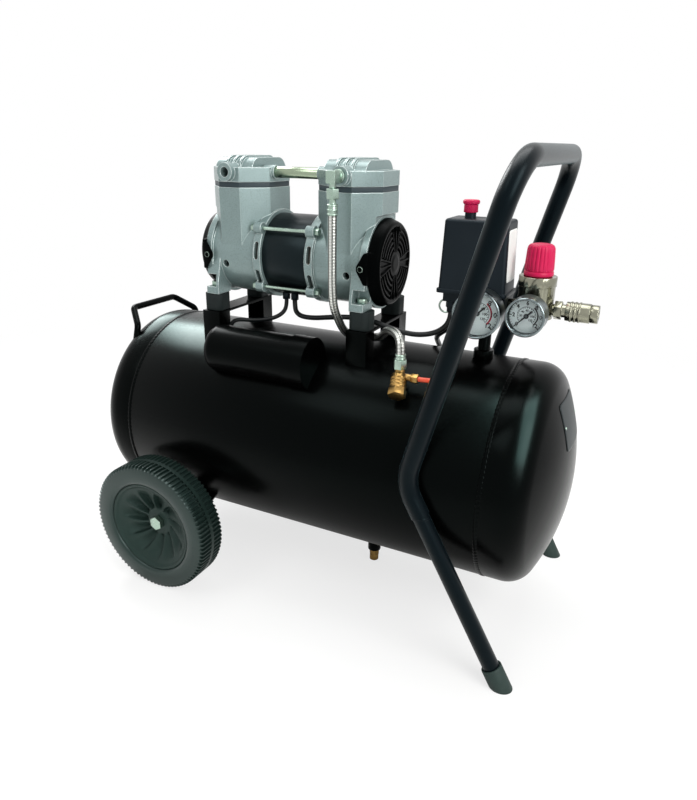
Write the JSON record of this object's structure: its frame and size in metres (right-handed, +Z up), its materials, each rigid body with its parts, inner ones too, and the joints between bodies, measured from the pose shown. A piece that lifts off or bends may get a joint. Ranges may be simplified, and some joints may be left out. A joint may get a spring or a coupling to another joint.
{
  "type": "air compressor",
  "caption": "Portable oil-free air compressor: horizontal tank on wheels and legs, flat motor with a piston head at each end, pressure switch, gauges, regulator and quick coupler.",
  "frame": {"origin": "centre of the footprint on the floor the wheels and feet stand on", "axes": "+X along the tank towards the handle and coupler, -Y towards the gauges, +Z up"},
  "size_m": [0.7162, 0.4194, 0.637],
  "materials": {
    "tank_black": "semi-gloss black paint",
    "frame_black": "satin black powder coat",
    "black_rubber": "matte rubber",
    "wheel_plastic": "matte dark plastic",
    "tyre_rubber": "matte moulded tyre",
    "zinc": "zinc-plated steel",
    "cast_alloy": "satin silver painted die casting",
    "stator_black": "satin dark enamel",
    "copper_winding": "enamelled copper wire",
    "core_steel": "laminated electrical steel",
    "bearing_steel": "ground steel",
    "cover_plastic": "matte black plastic",
    "alloy_part": "machined aluminium",
    "plate_dark": "dark slate gasket plate",
    "hose_braid": "stainless braid",
    "valve_brass": "bright brass",
    "tube_red": "orange-red nylon tube",
    "cable_black": "black sheath",
    "capacitor_white": "white plastic can",
    "knob_red": "red plastic",
    "gauge_chrome": "polished case",
    "gauge_dial": "pale printed dial",
    "needle_black": "black needle",
    "lens_clear": "clear lens",
    "nickel": "nickel plate"
  },
  "bodies": {
    "compressor": {"axle_bolts": "zinc", "braided_hose": "hose_braid", "cable_glands": "cover_plastic", "capacitor": "capacitor_white", "capacitor_cover": "cover_plastic", "capacitor_lead": "cable_black", "check_valve": "valve_brass", "connecting_rods": "alloy_part", "coupler_body": "nickel", "crankcase_left": "cast_alloy", "crankcase_right": "cast_alloy", "cylinder_head_left": "cast_alloy", "cylinder_head_right": "cast_alloy", "cylinder_sleeves": "alloy_part", "drain_valve_body": "valve_brass", "eccentrics": "alloy_part", "fan_covers": "cover_plastic", "foot_caps": "black_rubber", "gauge_cases": "gauge_chrome", "gauge_faces": "gauge_dial", "gauge_lenses": "lens_clear", "handle_frame": "frame_black", "hose_fittings": "zinc", "mains_coil": "cable_black", "mains_cord": "cable_black", "mains_plug": "cover_plastic", "motor_brackets": "tank_black", "motor_lead": "cable_black", "pump_screws": "zinc", "rear_handle": "tank_black", "regulator_body": "nickel", "rubber_mounts": "black_rubber", "safety_valve_body": "valve_brass", "shaft_bearings": "bearing_steel", "stator_core": "stator_black", "stator_windings": "copper_winding", "switch_base": "cover_plastic", "switch_cover": "cover_plastic", "tank_fittings": "tank_black", "tank_heads": "tank_black", "tank_shell": "tank_black", "tie_rods": "zinc", "transfer_tube": "zinc", "unloader_tube": "tube_red", "valve_plates": "plate_dark", "wheel_brackets": "tank_black"},
    "wheel_front": {"wheel_hub_front": "wheel_plastic", "wheel_tyre_front": "tyre_rubber"},
    "wheel_back": {"wheel_hub_back": "wheel_plastic", "wheel_tyre_back": "tyre_rubber"},
    "rotor": {"rotor_core": "core_steel", "motor_shaft": "bearing_steel", "cooling_fans": "cover_plastic"},
    "switch_knob": {"switch_knob": "knob_red"},
    "regulator_knob": {"regulator_knob": "knob_red"},
    "tank_needle": {"gauge_needle_tank": "needle_black"},
    "outlet_needle": {"gauge_needle_outlet": "needle_black"},
    "coupler_sleeve": {"coupler_sleeve": "nickel"},
    "safety_ring": {"safety_valve_ring": "zinc"},
    "drain_knob": {"drain_valve_knob": "valve_brass"}
  },
  "joints": [
    {"name": "wheel_front_spin", "type": "hinge", "parent": "compressor", "child": "wheel_front", "pos_m": [-0.2023, -0.1834, 0.1], "axis": [0, 1, 0], "continuous": true},
    {"name": "wheel_back_spin", "type": "hinge", "parent": "compressor", "child": "wheel_back", "pos_m": [-0.2023, 0.1834, 0.1], "axis": [0, 1, 0], "continuous": true},
    {"name": "rotor_spin", "type": "hinge", "parent": "compressor", "child": "rotor", "pos_m": [-0.052, 0, 0.484], "axis": [1, 0, 0], "continuous": true},
    {"name": "switch_knob_push", "type": "slide", "parent": "compressor", "child": "switch_knob", "axis": [0, 0, -1], "range_m": [0, 0.006]},
    {"name": "regulator_knob_turn", "type": "hinge", "parent": "compressor", "child": "regulator_knob", "pos_m": [0.279, 0, 0.5], "axis": [0, 0, 1], "range_deg": [0, 1080]},
    {"name": "tank_needle_turn", "type": "hinge", "parent": "compressor", "child": "tank_needle", "pos_m": [0.22, -0.0468, 0.441], "axis": [0, 1, 0], "range_deg": [0, 270]},
    {"name": "outlet_needle_turn", "type": "hinge", "parent": "compressor", "child": "outlet_needle", "pos_m": [0.279, -0.0468, 0.445], "axis": [0, 1, 0], "range_deg": [0, 270]},
    {"name": "coupler_sleeve_slide", "type": "slide", "parent": "compressor", "child": "coupler_sleeve", "axis": [-1, 0, 0], "range_m": [0, 0.004], "stiffness_N_per_m": 800},
    {"name": "safety_ring_pull", "type": "slide", "parent": "compressor", "child": "safety_ring", "axis": [-1, 0, 0], "range_m": [0, 0.003], "stiffness_N_per_m": 600},
    {"name": "drain_knob_turn", "type": "hinge", "parent": "compressor", "child": "drain_knob", "pos_m": [0.072, 0, 0.0157], "axis": [0, 0, 1], "range_deg": [0, 720]}
  ]
}
